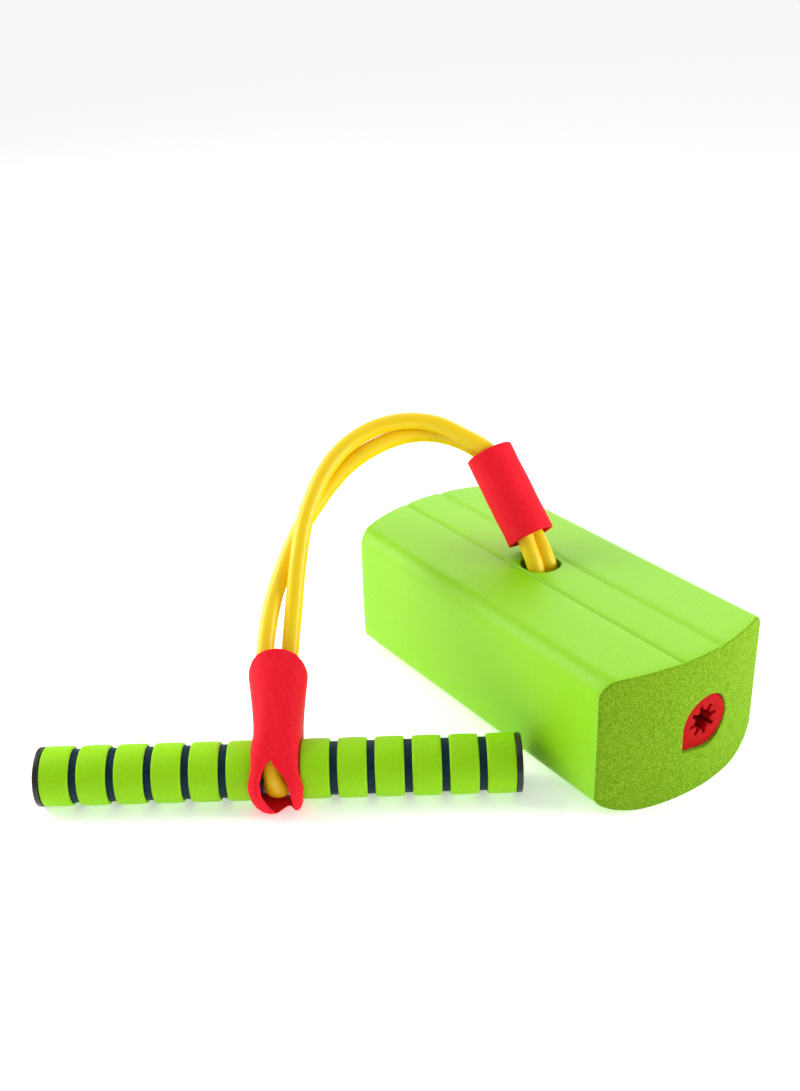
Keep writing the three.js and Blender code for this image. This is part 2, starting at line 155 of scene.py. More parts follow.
def bump(material, heights):
    """One bump after another: each is (height output, strength, distance in metres)."""
    normal = None
    for height, strength, distance in heights:
        node = add_node(material, "ShaderNodeBump")
        node.inputs["Strength"].default_value = strength
        node.inputs["Distance"].default_value = distance
        link(material, height, node.inputs["Height"])
        if normal is not None:
            link(material, normal, node.inputs["Normal"])
        normal = node.outputs["Normal"]
    link(material, normal, material.node_tree.nodes["Principled BSDF"].inputs["Normal"])


# Each surface's tones, from dark to light, 0 to 255; the middle one is its own colour. The skin's
# roughness is given as greys. The scales of noise and cells below count features in a metre, and a
# bump is a height with its strength and its depth in metres.
SKIN_TONES = [(139, 209, 9), (143, 213, 14), (147, 217, 22)]
SKIN_ROUGHNESS = [(172, 172, 172), (188, 188, 188)]
# The cut foam's dark tone goes to its pits as painted shade
CUT_TONES = [(84, 124, 4), (112, 157, 16), (148, 192, 50)]
RING_TONES = [(151, 217, 16), (155, 221, 22), (160, 225, 32)]
RED_TONES = [(244, 20, 40), (248, 26, 46), (251, 34, 54)]
DARK_TONES = [(9, 34, 48), (14, 44, 60), (24, 62, 78)]
PLUG_TONES = [(166, 1, 3), (178, 2, 6), (188, 7, 12)]
LATEX_TONES = [(252, 211, 8), (253, 216, 14), (254, 222, 26)]
BLACK_TONES = [(18, 20, 14), (26, 28, 22), (34, 36, 30)]
WHITE_TONES = [(214, 214, 208), (222, 222, 216), (230, 230, 224)]
# The pits' and patches' shares of the cut foam's height, whose low pits are painted dark as shade
PIT_SHARE, PATCH_SHARE = 0.35, 0.2
LATEX_DEPTH = (0.004, 0.0025, 0.0006)


def make_skin():
    """The moulded skin of the green foam: satin, with the cells just showing through."""
    material, shader = new_material("green_skin", SKIN_TONES[1], 0.46, 0.34)
    tone = noise_node(material, 700, 4, 0.6)
    colour = ramp(material, tone, (0.3, 0.5, 0.7), SKIN_TONES)
    link(material, colour, shader.inputs["Base Color"])
    rough = ramp(material, noise_node(material, 260), (0.3, 0.7), SKIN_ROUGHNESS)
    link(material, rough, shader.inputs["Roughness"])
    cells, swell = cells_node(material, 1100), noise_node(material, 420)
    bump(material, [(cells, 0.1, 0.0003), (swell, 0.06, 0.0004)])
    return material


def make_cut_foam():
    """The foam cut across: fine open cells, pale walls, and painted shade darkening the pits."""
    material, shader = new_material("green_cut", CUT_TONES[1], 0.9, 0.08)
    grain = noise_node(material, 1500, rough=0.7)
    pits = cells_node(material, 1500)
    patches = noise_node(material, 330, rough=0.6)
    pitted = scaled_sum(material, pits, PIT_SHARE, grain)
    height = scaled_sum(material, patches, PATCH_SHARE, pitted)
    # Painted shade: the colour follows the height, so the low pits come out dark; patches vary the
    # tone at random
    colour = ramp(material, height, (0.55, 0.75, 0.93), CUT_TONES)
    link(material, colour, shader.inputs["Base Color"])
    bump(material, [(height, 0.5, 0.0006)])
    return material


def make_soft_foam(name, tones, roughness, cell=1400):
    """Fine foam with closed cells, for the sleeves, grips, rings and plugs."""
    material, shader = new_material(name, tones[1], roughness, 0.12)
    tone = noise_node(material, 520, 4, 0.6)
    colour = ramp(material, tone, (0.3, 0.5, 0.72), tones)
    link(material, colour, shader.inputs["Base Color"])
    cells, swell = cells_node(material, cell), noise_node(material, 300)
    bump(material, [(cells, 0.16, 0.0003), (swell, 0.08, 0.0004)])
    return material


def make_rubber():
    """The cord: smooth yellow latex that lets a little light in."""
    material, shader = new_material("yellow_latex", LATEX_TONES[1], 0.36, 0.4)
    shader.inputs["Subsurface Weight"].default_value = 0.12
    shader.inputs["Subsurface Radius"].default_value = LATEX_DEPTH
    shader.inputs["Subsurface Scale"].default_value = 1.0
    colour = ramp(material, noise_node(material, 45, 4), (0.3, 0.55, 0.8), LATEX_TONES)
    link(material, colour, shader.inputs["Base Color"])
    bump(material, [(noise_node(material, 160), 0.06, 0.0006)])
    return material


def make_plastic(name, tones, roughness):
    material, shader = new_material(name, tones[1], roughness)
    fine = noise_node(material, 500, 4)
    colour = ramp(material, fine, (0.3, 0.5, 0.7), tones)
    link(material, colour, shader.inputs["Base Color"])
    bump(material, [(fine, 0.05, 0.0003)])
    return material


SKIN = make_skin()
CUT_FOAM = make_cut_foam()
RING_FOAM = make_soft_foam("ring_foam", RING_TONES, 0.5)
RED_FOAM = make_soft_foam("red_foam", RED_TONES, 0.62)
DARK_FOAM = make_soft_foam("dark_foam", DARK_TONES, 0.5)
RED_PLUG = make_soft_foam("red_plug", PLUG_TONES, 0.75, 900)
LATEX = make_rubber()
BLACK = make_plastic("black_cap", BLACK_TONES, 0.32)
TUBE_WHITE = make_plastic("tube_white", WHITE_TONES, 0.4)


# ---------------------------------------------------------------- mesh helpers
def smoothed(mesh, degrees):
    """Smooth shading, but sharp where two faces meet at more than this angle."""
    mesh.shade_smooth()
    mark = bmesh.new()
    mark.from_mesh(mesh)
    for edge in mark.edges:
        if len(edge.link_faces) == 2 and edge.calc_face_angle(0) > math.radians(degrees):
            edge.smooth = False
    mark.to_mesh(mesh)
    mark.free()


def welded(mesh, distance):
    """Joins the mesh's points that are this near each other, in metres."""
    weld = bmesh.new()
    weld.from_mesh(mesh)
    bmesh.ops.remove_doubles(weld, verts=weld.verts, dist=distance)
    weld.to_mesh(mesh)
    weld.free()


def link_object(name, mesh, materials, sharp=None):
    """A new object; with sharp given, its shading is smooth up to that many degrees."""
    piece = bpy.data.objects.new(name, mesh)
    scene.collection.objects.link(piece)
    for material in materials:
        mesh.materials.append(material)
    if sharp is not None:
        smoothed(mesh, sharp)
    return piece


def mesh_from(name, points, faces):
    mesh = bpy.data.meshes.new(name)
    mesh.from_pydata([tuple(p) for p in points], [], [tuple(f) for f in faces])
    mesh.validate()
    mesh.update()
    return mesh


def grid_faces(rows, columns):
    """Quads between rows of points, each row's last point joined to its first."""
    faces = []
    for i in range(rows - 1):
        for j in range(columns):
            k = (j + 1) % columns
            a, b = i * columns, (i + 1) * columns
            faces.append((a + j, a + k, b + k, b + j))
    return faces


def end_faces(rows, columns):
    """The two many-sided faces that close such a grid."""
    last = (rows - 1) * columns
    return [tuple(range(columns))[::-1], tuple(range(last, last + columns))]


def outward(mesh):
    """The mesh with all its faces turned outward."""
    mark = bmesh.new()
    mark.from_mesh(mesh)
    bmesh.ops.recalc_face_normals(mark, faces=mark.faces)
    mark.to_mesh(mesh)
    mark.free()
    return mesh


def freeze(piece):
    """Applies the piece's modifiers."""
    bpy.context.view_layer.update()
    graph = bpy.context.evaluated_depsgraph_get()
    mesh = bpy.data.meshes.new_from_object(piece.evaluated_get(graph))
    piece.modifiers.clear()
    piece.data = mesh


def foam_piece(piece, node, body):
    """Puts a foam piece in the place of its CAD node."""
    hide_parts(node)
    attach(piece, body)


SWELL_PITCH, SWELL_SCALE = 0.06, 1.3
TURNED_SHARP, TURNED_WELD = 40, 1e-7


def turned(name, profile, sides, material, place, swell=0.0, seed=0.0):
    """A lathe: profile is a closed list of (radius, height) in millimetres, about place's own Z.

    swell is how far the radius wanders, in millimetres.
    """
    points, faces = [], []
    for r, h in profile:
        for j in range(sides):
            angle = 2 * math.pi * j / sides
            grow = r
            if swell:
                at = Vector((math.cos(angle), math.sin(angle), h * SWELL_PITCH + seed))
                grow = r + swell * noise.noise(at * SWELL_SCALE)
            point = Vector((grow * math.cos(angle), grow * math.sin(angle), h))
            points.append(place @ point * MM)
    rows = len(profile)
    for i in range(rows):
        for j in range(sides):
            k = (j + 1) % sides
            n = (i + 1) % rows
            faces.append((i * sides + j, i * sides + k, n * sides + k, n * sides + j))
    mesh = mesh_from(name, points, faces)
    welded(mesh, TURNED_WELD)
    return link_object(name, outward(mesh), [material], TURNED_SHARP)


FILLET_STEPS = 5


def rounded(corners):
    """A closed profile from (r, h, fillet) corners, in order, with each corner rounded."""
    out = []
    count = len(corners)
    for i, (r, h, fillet) in enumerate(corners):
        here = Vector((r, h))
        if fillet <= 0:
            out.append((r, h))
            continue
        before = Vector(corners[i - 1][:2]) - here
        after = Vector(corners[(i + 1) % count][:2]) - here
        a = here + before.normalized() * fillet
        b = here + after.normalized() * fillet
        for k in range(FILLET_STEPS + 1):
            t = k / FILLET_STEPS
            p = a * (1 - t) ** 2 + here * 2 * t * (1 - t) + b * t * t
            out.append((p.x, p.y))
    return out


def basis(origin, z_axis, x_hint):
    """A frame at origin with its Z along z_axis and its X as near x_hint as that allows."""
    z = Vector(z_axis).normalized()
    x = Vector(x_hint)
    x = (x - z * x.dot(z)).normalized()
    y = z.cross(x)
    return Matrix(
        (
            (x.x, y.x, z.x, origin[0]),
            (x.y, y.y, z.y, origin[1]),
            (x.z, y.z, z.z, origin[2]),
            (0, 0, 0, 1),
        )
    )


# ---------------------------------------------------------------- cord
CORD_RADIUS = 5.0
CORE_Y, CORE_Z = 5.0, 43.0
ARCH_NORMAL = Vector((-0.714, 0.268, -0.647)).normalized()
HANDLE_CENTRE = Vector((-10.15, -183.05, 16.6))
HANDLE_AXIS = Vector((0.5672, 0.8236, 0)).normalized()
LOOP_OFFSET = -3.6  # the loop's place along the handle
LOOP_CENTRE = HANDLE_CENTRE + LOOP_OFFSET * HANDLE_AXIS
LOOP_PARTS = 6  # points in each half turn, less one
ROD_LOOP_X, ROD_LOOP_RADIUS = -3.5, 10.8
HANDLE_LOOP_RADIUS = 10.5
HANDLE_LOOP_LEAN = 2.3  # how far along the handle the loop's lowest point is
LOOP_SPREAD = 0.42  # how much wider the cord is pressed at that point, as a share
LINK_ROWS = [2, 6, 10, 14, 18, 22]  # where one length of strand ends and the next begins
CORD_STEPS = 6  # sections between two points of the cord's curve
CORD_SIDES, CORD_SHARP = 28, 60

# The cord's middle line from the rod to the handle: x, y, z in metres, half the distance between
# the strands in metres, and the pair's turn about the line in degrees.
ROUTE = [
    (-0.0035, 0.005, 0.0485, 0.0107, -70),
    (-0.0035, 0.0041, 0.0595, 0.0087, -70),
    (-0.0037, 0.0023, 0.0703, 0.0065, -70),
    (-0.0055, 0.0003, 0.0859, 0.0053, -68),
    (-0.0152, 0.001, 0.0982, 0.0053, -60),
    (-0.0258, 0.0021, 0.1098, 0.0053, -43),
    (-0.0363, 0.0029, 0.1215, 0.0053, -23),
    (-0.0469, 0.0022, 0.1331, 0.0053, -6),
    (-0.0579, -0.0026, 0.1433, 0.0053, -4),
    (-0.0681, -0.0119, 0.1507, 0.0053, -3),
    (-0.0773, -0.0231, 0.1563, 0.0053, 14),
    (-0.0846, -0.0368, 0.1586, 0.0053, 33),
    (-0.0893, -0.0517, 0.1576, 0.0053, 54),
    (-0.0915, -0.0669, 0.1538, 0.0053, 61),
    (-0.0914, -0.0816, 0.1476, 0.0053, 50),
    (-0.089, -0.095, 0.1393, 0.0053, 36),
    (-0.085, -0.1071, 0.1299, 0.0053, 17),
    (-0.0802, -0.1183, 0.12, 0.0053, -3),
    (-0.0742, -0.128, 0.1093, 0.0054, -26),
    (-0.0676, -0.137, 0.0983, 0.0056, -48),
    (-0.0606, -0.1454, 0.087, 0.0062, -73),
    (-0.0532, -0.1532, 0.0755, 0.0068, -88),
    (-0.0453, -0.1605, 0.0639, 0.007, -97),
    (-0.0379, -0.1667, 0.0532, 0.0069, -124),
    (-0.0306, -0.1725, 0.0426, 0.0075, -152),
    (-0.0231, -0.1781, 0.0321, 0.0094, -169),
]
MIDDLE = [Vector(row[:3]) / MM for row in ROUTE]


def holder_frame():
    """Up the cord from the handle, and back from it, both square to the handle."""
    up = MIDDLE[-2] - LOOP_CENTRE
    up = (up - HANDLE_AXIS * up.dot(HANDLE_AXIS)).normalized()
    return up, -HANDLE_AXIS.cross(up)


HOLDER_UP, HOLDER_BACK = holder_frame()


def strand_points(side):
    """One strand's points, from the rod to the handle; side is 1 or -1."""
    points = []
    for i, (point, row) in enumerate(zip(MIDDLE, ROUTE)):
        before = MIDDLE[max(i - 1, 0)]
        after = MIDDLE[min(i + 1, len(MIDDLE) - 1)]
        tangent = (after - before).normalized()
        normal = (ARCH_NORMAL - tangent * ARCH_NORMAL.dot(tangent)).normalized()
        out = normal.cross(tangent)
        turn = math.radians(row[4])
        pair = -math.cos(turn) * normal + math.sin(turn) * out
        points.append(point + side * row[3] / MM * pair)
    return points


def half_turn(centre, across, down, radius, lean):
    """Points on a half circle, from the across side by way of the down side to the other."""
    points = []
    for i in range(LOOP_PARTS + 1):
        angle = i * math.pi / LOOP_PARTS
        around = radius * (math.cos(angle) * across + math.sin(angle) * down)
        points.append(centre + around + math.sin(angle) * lean)
    return points


def cord_loop():
    """The points of the whole closed cord: one strand, the handle, the other strand, the rod."""
    lean = HANDLE_LOOP_LEAN * HANDLE_AXIS
    round_handle = half_turn(LOOP_CENTRE, HOLDER_BACK, -HOLDER_UP, HANDLE_LOOP_RADIUS, lean)
    rod = Vector((ROD_LOOP_X, CORE_Y, CORE_Z))
    round_rod = half_turn(rod, Vector((0, 1, 0)), Vector((0, 0, -1)), ROD_LOOP_RADIUS, Vector())
    return strand_points(1) + round_handle + strand_points(-1)[::-1] + round_rod


LOOP = cord_loop()


def on_loop(place):
    """The closed centripetal curve through LOOP, place counting its points."""
    count = len(LOOP)
    row = math.floor(place)
    weight = place - row
    p = [LOOP[(row + k) % count] for k in (-1, 0, 1, 2)]
    gaps = [(p[k + 1] - p[k]).length ** 0.5 for k in range(3)]
    steps = [(p[k + 1] - p[k]) / gaps[k] for k in range(3)]
    start = steps[0] - (p[2] - p[0]) / (gaps[0] + gaps[1]) + steps[1]
    end = steps[1] - (p[3] - p[1]) / (gaps[1] + gaps[2]) + steps[2]
    start, end = start * gaps[1], end * gaps[1]
    c2 = 3 * (p[2] - p[1]) - 2 * start - end
    c3 = 2 * (p[1] - p[2]) + start + end
    return p[1] + start * weight + c2 * weight**2 + c3 * weight**3


def pressed_wide(point):
    """Under the handle the cord is pressed wide along it, most at its lowest."""
    away = point - LOOP_CENTRE
    down = -away.dot(HOLDER_UP)
    share = max(down, 0) / math.hypot(down, away.dot(HOLDER_BACK))
    off = away.dot(HANDLE_AXIS) - HANDLE_LOOP_LEAN * share
    return point + HANDLE_AXIS * off * LOOP_SPREAD * share**2


def tube(name, around, pressed):
    """A smooth closed tube along points in millimetres; the first and last only give direction."""
    tangents = [(after - before).normalized() for before, after in zip(around, around[2:])]
    line = around[1:-1]
    side = tangents[0].orthogonal().normalized()
    points = []
    for centre, tangent in zip(line, tangents):
        side = (side - tangent * side.dot(tangent)).normalized()
        other = tangent.cross(side)
        for j in range(CORD_SIDES):
            angle = 2 * math.pi * j / CORD_SIDES
            offset = CORD_RADIUS * (math.cos(angle) * side + math.sin(angle) * other)
            point = centre + offset
            points.append((pressed_wide(point) if pressed else point) * MM)
    faces = grid_faces(len(line), CORD_SIDES) + end_faces(len(line), CORD_SIDES)
    mesh = outward(mesh_from(name, points, faces))
    return link_object(name, mesh, [LATEX], CORD_SHARP)


def cord_piece(name, first, last, bodies):
    """One length of the cord, between two of its points.

    bodies names the one it rides, or the two it lies between, then where it is all the first's
    and where it is all the second's; with two, these go unread and its place is only baked in.
    """
    steps = round((last - first) * CORD_STEPS)
    around = [on_loop(first + i / CORD_STEPS) for i in range(-1, steps + 2)]
    label = name.replace("cord", "strand").replace("_loop", "_strand")
    piece = tube(label, around, name == "handle_loop")
    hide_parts(name)
    if len(bodies) == 1:
        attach(piece, bodies[0])
    else:
        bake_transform(piece)


def make_cord():
    back_row = 2 * len(ROUTE) + LOOP_PARTS  # less a row, this is the same row on the back strand
    chain = ["cord_root"] + [f"cord_link_{i}" for i in range(1, len(LINK_ROWS))]
    for i in range(len(LINK_ROWS) - 1):
        low, high = LINK_ROWS[i], LINK_ROWS[i + 1]
        span = (chain[i], chain[i + 1], ROUTE[low][:3], ROUTE[high][:3])
        cord_piece(f"cord_front_{i + 1}", low, high, span)
        cord_piece(f"cord_back_{i + 1}", back_row - high, back_row - low, span)
    top = LINK_ROWS[-1]
    cord_piece("handle_loop", top, back_row - top, ("cord_link_5",))
    foot = LINK_ROWS[0]
    low = (ROD_LOOP_X * MM, CORE_Y * MM, CORE_Z * MM)
    high = (ROD_LOOP_X * MM, CORE_Y * MM, ROUTE[foot][2])
    ends = ("base", "cord_root", low, high)
    cord_piece("anchor_loop", back_row - foot, len(LOOP) + foot, ends)


make_cord()


# ---------------------------------------------------------------- foam block
HALF_LENGTH, HALF_WIDTH, END_BULGE = 125.0, 60.5, 14.8
SHOULDER, CROWN, TOP_RADIUS = 86.0, 1.2, 11.0
BOTTOM_Y, BOTTOM_Z = 32.4, 13.4
CORE_RADIUS, CORE_TIP = 16.5, (-16.3, -13.8)
TIP_ANGLE = math.atan2(CORE_TIP[1], CORE_TIP[0])
CORE_END_X, CORE_LENGTH = 122.6, 68.0
MOUTH_X, MOUTH_Y, MOUTH_RADIUS = -6, 0, 12.0
BLOCK_SHARP = 50

# The end faces: the channel's gaps beside and behind its plug, the rounding of its edge, and the
# rounding of the face's own edge as (in from the section, back from the face)
HOLE_GAP, HOLE_END_GAP = 0.25, 0.3
HOLE_EDGE_BACKS, HOLE_EDGE_OUT = (1.2, 0.3), 0.35
FACE_EDGE_IN, FACE_BEVEL_IN, FACE_BEVEL_BACK = 0.9, 0.25, 0.18
SKIN_BACK = 0.8
END_RINGS = 22
STATIONS = 44  # sections along the block
BOTTOM_STEPS, BOTTOM_ARC_STEPS, WALL_STEPS, SHOULDER_STEPS = 12, 24, 14, 14

# The two grooves along the top, and where the outline's points are set closer for them
FRONT_GROOVE_Y, FRONT_GROOVE = -14.0, ((1.0, 0.9), (0.35, 4.0))  # (depth, half width)
REAR_GROOVE_Y, REAR_GROOVE_DEPTH = 12.6, 1.1
REAR_GROOVE_HALVES = (1.1, 3.4)  # half widths; the side towards the front is steeper
FINE_Y = (13.5, -14.0)
FINE_STEP, FINE_REACH = 0.35, 3.0
MEDIUM_STEP, MEDIUM_REACH = 0.8, 6
COARSE_STEP = 2.2


def top_height(y):
    """The top between its shoulders: three soft lobes with a crease between each two."""
    flat = HALF_WIDTH - TOP_RADIUS
    z = SHOULDER + CROWN * (1 - (y / flat) ** 2)
    for depth, half in FRONT_GROOVE:
        z -= depth * math.exp(-(((y - FRONT_GROOVE_Y) / half) ** 2))
    rear = y - REAR_GROOVE_Y
    half = REAR_GROOVE_HALVES[0] if rear < 0 else REAR_GROOVE_HALVES[1]
    return z - REAR_GROOVE_DEPTH * math.exp(-((rear / half) ** 2))


def quarter_arc(centre, reach, start, steps):
    """Points over a quarter turn from start, which counts quarter turns from +Y."""
    points = []
    for i in range(steps + 1):
        angle = math.pi / 2 * (start + i / steps)
        y = centre[0] + reach[0] * math.cos(angle)
        points.append((y, centre[1] + reach[1] * math.sin(angle)))
    return points


def top_line(edge):
    """The top's points from one shoulder at edge to the other, the first left out."""
    points = []
    y = edge
    while y > -edge + 1e-6:
        near = min(abs(y - fine) for fine in FINE_Y)
        if near < FINE_REACH:
            y -= FINE_STEP
        else:
            y -= MEDIUM_STEP if near < MEDIUM_REACH else COARSE_STEP
        y = max(y, -edge)
        points.append((y, top_height(y)))
    return points


def block_section():
    """The section's outline as (y, z) points, once round, anticlockwise seen from +X."""
    flat = HALF_WIDTH - BOTTOM_Y
    edge = HALF_WIDTH - TOP_RADIUS
    straight = SHOULDER - TOP_RADIUS
    bottom = [(-flat + 2 * flat * i / BOTTOM_STEPS, 0.0) for i in range(BOTTOM_STEPS)]
    rise = (straight - BOTTOM_Z) / WALL_STEPS
    wall = [BOTTOM_Z + rise * i for i in range(1, WALL_STEPS)]
    low, high = (BOTTOM_Y, BOTTOM_Z), (TOP_RADIUS, TOP_RADIUS)
    return (
        bottom
        + quarter_arc((flat, BOTTOM_Z), low, -1, BOTTOM_ARC_STEPS)
        + [(HALF_WIDTH, z) for z in wall]
        + quarter_arc((edge, straight), high, 0, SHOULDER_STEPS)
        + top_line(edge)
        + quarter_arc((-edge, straight), high, 1, SHOULDER_STEPS)[1:]
        + [(-HALF_WIDTH, z) for z in wall[::-1]]
        + quarter_arc((-flat, BOTTOM_Z), low, 2, BOTTOM_ARC_STEPS)[:-1]
    )


def end_x(y):
    return HALF_LENGTH - END_BULGE * (y / HALF_WIDTH) ** 2


def teardrop_reach(angle, radius):
    """How far the teardrop's edge is from its centre in a direction."""
    tip = math.hypot(*CORE_TIP) + (radius - CORE_RADIUS)
    off = abs((angle - TIP_ANGLE + math.pi) % (2 * math.pi) - math.pi)
    half = math.acos(radius / tip)
    if off >= half:
        return radius
    return radius / math.cos(half - off)


def moved_in(outline, amount):
    """The outline with every point moved towards the plug's middle."""
    centre = Vector((CORE_Y, CORE_Z))
    moved = []
    for point in outline:
        away = Vector(point) - centre
        moved.append(tuple(Vector(point) - away.normalized() * amount))
    return moved


def hole_outline(section):
    """The plug's channel in the block, one point for each of the section's."""
    angles = [math.atan2(z - CORE_Z, y - CORE_Y) for y, z in section]
    nearest = min(range(len(section)), key=lambda i: abs(angles[i] - TIP_ANGLE))
    angles[nearest] = TIP_ANGLE
    hole = []
    for angle in angles:
        reach = teardrop_reach(angle, CORE_RADIUS + HOLE_GAP)
        hole.append((CORE_Y + reach * math.cos(angle), CORE_Z + reach * math.sin(angle)))
    return hole


def end_rows(section, hole, sign):
    """Rows (outline, x of y, skin) from deep in the channel, over the end face, to the skin."""
    deep = CORE_END_X - CORE_LENGTH - HOLE_END_GAP
    rows = [(hole, lambda y: sign * deep, False)]
    for back in HOLE_EDGE_BACKS:
        rows.append((hole, lambda y, back=back: sign * (end_x(y) - back), False))
    edge = moved_in(section, FACE_EDGE_IN)
    for k in range(END_RINGS + 1):
        t = k / END_RINGS
        ring = [
            (inner[0] + (outer[0] - inner[0]) * t, inner[1] + (outer[1] - inner[1]) * t)
            for inner, outer in zip(hole, edge)
        ]
        if k == 0:
            ring = moved_in(hole, -HOLE_EDGE_OUT)
        rows.append((ring, lambda y: sign * end_x(y), False))
    bevel = moved_in(section, FACE_BEVEL_IN)
    rows.append((bevel, lambda y: sign * (end_x(y) - FACE_BEVEL_BACK), False))
    rows.append((section, lambda y: sign * (end_x(y) - SKIN_BACK), True))
    return rows


def block_mesh():
    """The block with its two channels: its skin in one material and its cut faces in another."""
    section = block_section()
    count = len(section)
    hole = hole_outline(section)
    rows = end_rows(section, hole, -1)
    for i in range(1, STATIONS):
        share = -1 + 2 * i / STATIONS
        rows.append((section, lambda y, share=share: share * (end_x(y) - SKIN_BACK), True))
    rows += end_rows(section, hole, 1)[::-1]
    points = []
    for outline, x_of, _ in rows:
        points.extend(Vector((x_of(y), y, z)) * MM for y, z in outline)
    faces = grid_faces(len(rows), count) + end_faces(len(rows), count)
    kinds = []
    for (*_, skin), (*_, next_skin) in zip(rows, rows[1:]):
        kinds += [0 if skin and next_skin else 1] * count
    mesh = mesh_from("foam_base", points, faces)
    mesh.polygons.foreach_set("material_index", kinds + [1, 1])
    return outward(mesh)


# Waves in the skin, in metres
WAVE_DEPTH = 0.0005
WAVE_SCALE = Vector((9, 14, 14))
WAVE_END_X, WAVE_FADE = 0.124, 0.01
WAVE_CENTRE_Z, WAVE_FROM = 0.043, 0.02


def soften_skin(mesh):
    """Moulded foam is never quite flat: long shallow waves over the skin, none at the ends."""
    for vertex in mesh.vertices:
        co = vertex.co
        ends = min(1.0, max(0.0, (WAVE_END_X - abs(co.x)) / WAVE_FADE))
        fade = ends * min(1.0, co.z / WAVE_FADE)
        wave = noise.noise(co * WAVE_SCALE)
        away = Vector((0, co.y, co.z - WAVE_CENTRE_Z))
        if away.length > WAVE_FROM:
            vertex.co = co + away.normalized() * wave * WAVE_DEPTH * fade


# The cord's well, as (radius, height): a bulb under a narrower mouth
WELL_X, WELL_Y = -3.5, 4.5
WELL_BULB = [(0.0, 26.0), (12, 26), (17, 32), (17, 54), (MOUTH_RADIUS, 80), (0.0, 80.0)]
WELL_MOUTH = [(0.0, 62.0), (MOUTH_RADIUS, 62), (MOUTH_RADIUS, 95), (0.0, 95.0)]
WELL_SIDES, MOUTH_SIDES = 48, 64


def well_cutters():
    bulb = basis((WELL_X, WELL_Y, 0), (0, 0, 1), (1, 0, 0))
    mouth = basis((MOUTH_X, MOUTH_Y, 0), (0, 0, 1), (1, 0, 0))
    return (
        turned("well", WELL_BULB, WELL_SIDES, CUT_FOAM, bulb),
        turned("mouth", WELL_MOUTH, MOUTH_SIDES, CUT_FOAM, mouth),
    )


# The mouth's rim is found by its height in metres, its angle in radians and its radius
RIM_LEAST_Z, RIM_LEAST_ANGLE, RIM_OFF = 0.0835, 0.6, 0.05
RIM_ROUNDING = 0.0009


def round_mouth(mesh):
    """Rounds the edge where the well meets the top."""
    rim = bmesh.new()
    rim.from_mesh(mesh)
    edges = []
    for edge in rim.edges:
        away = [math.hypot(v.co.x / MM - MOUTH_X, v.co.y / MM - MOUTH_Y) for v in edge.verts]
        high = min(v.co.z for v in edge.verts) > RIM_LEAST_Z
        if high and all(abs(r - MOUTH_RADIUS) < RIM_OFF for r in away):
            if len(edge.link_faces) == 2 and edge.calc_face_angle(0) > RIM_LEAST_ANGLE:
                edges.append(edge)
    bmesh.ops.bevel(
        rim, geom=edges, offset=RIM_ROUNDING, segments=3, affect="EDGES", profile=0.5
    )
    rim.to_mesh(mesh)
    rim.free()


def make_block():
    mesh = block_mesh()
    soften_skin(mesh)
    block = link_object("foam_block", mesh, [SKIN, CUT_FOAM])
    for cutter in well_cutters():
        cut = block.modifiers.new("cut", "BOOLEAN")
        cut.operation = "DIFFERENCE"
        cut.solver = "EXACT"
        cut.object = cutter
        cut.material_mode = "TRANSFER"
        freeze(block)
        bpy.data.objects.remove(cutter)
    round_mouth(block.data)
    smoothed(block.data, BLOCK_SHARP)
    foam_piece(block, "foam_base", "base")


STAR_POINTS, STAR_TURN = 8, 0.2
STAR_SPOKE = [(-7.5, 10.2), (7.5, 10.2), (15.5, 6.7), (22.5, 6.4), (29.5, 6.7)]  # degrees, radius
PLUG_SIDES, PLUG_BEVEL = 120, 0.5
PLUG_SHARP, PLUG_WELD = 35, 1e-6


def star_outline():
    points = []
    for i in range(STAR_POINTS):
        middle = i * 2 * math.pi / STAR_POINTS + STAR_TURN
        for offset, radius in STAR_SPOKE:
            angle = middle + math.radians(offset)
            points.append((radius * math.cos(angle), radius * math.sin(angle)))
    return points


def teardrop_outline():
    outline = []
    for i in range(PLUG_SIDES):
        angle = TIP_ANGLE + 2 * math.pi * i / PLUG_SIDES
        reach = teardrop_reach(angle, CORE_RADIUS) - PLUG_BEVEL
        outline.append((reach * math.cos(angle), reach * math.sin(angle)))
    return outline


def plug_mesh(name):
    """The teardrop bar with its star bore, about its own middle, its rims rounded."""
    curve = bpy.data.curves.new(name, "CURVE")
    curve.dimensions = "2D"
    curve.fill_mode = "BOTH"
    for outline in (teardrop_outline(), star_outline()):
        spline = curve.splines.new("POLY")
        spline.points.add(len(outline) - 1)
        for point, (y, z) in zip(spline.points, outline):
            point.co = (y * MM, z * MM, 0, 1)
        spline.use_cyclic_u = True
    curve.extrude = (CORE_LENGTH / 2 - PLUG_BEVEL) * MM
    curve.bevel_depth = PLUG_BEVEL * MM
    curve.bevel_resolution = 2
    solid = bpy.data.objects.new(name, curve)
    scene.collection.objects.link(solid)
    bpy.context.view_layer.update()
    graph = bpy.context.evaluated_depsgraph_get()
    mesh = bpy.data.meshes.new_from_object(solid.evaluated_get(graph))
    bpy.data.objects.remove(solid)
    return mesh


def make_plug(name, sign):
    mesh = plug_mesh(name)
    middle = sign * (CORE_END_X - CORE_LENGTH / 2) * MM
    rows = (0, 0, 1, middle), (1, 0, 0, CORE_Y * MM), (0, 1, 0, CORE_Z * MM), (0, 0, 0, 1)
    mesh.transform(Matrix(rows))
    welded(mesh, PLUG_WELD)
    mesh.materials.clear()
    plug = link_object(name.replace("core_", ""), outward(mesh), [RED_PLUG], PLUG_SHARP)
    foam_piece(plug, name, "base")


make_block()
make_plug("core_plug_near", 1)
make_plug("core_plug_far", -1)


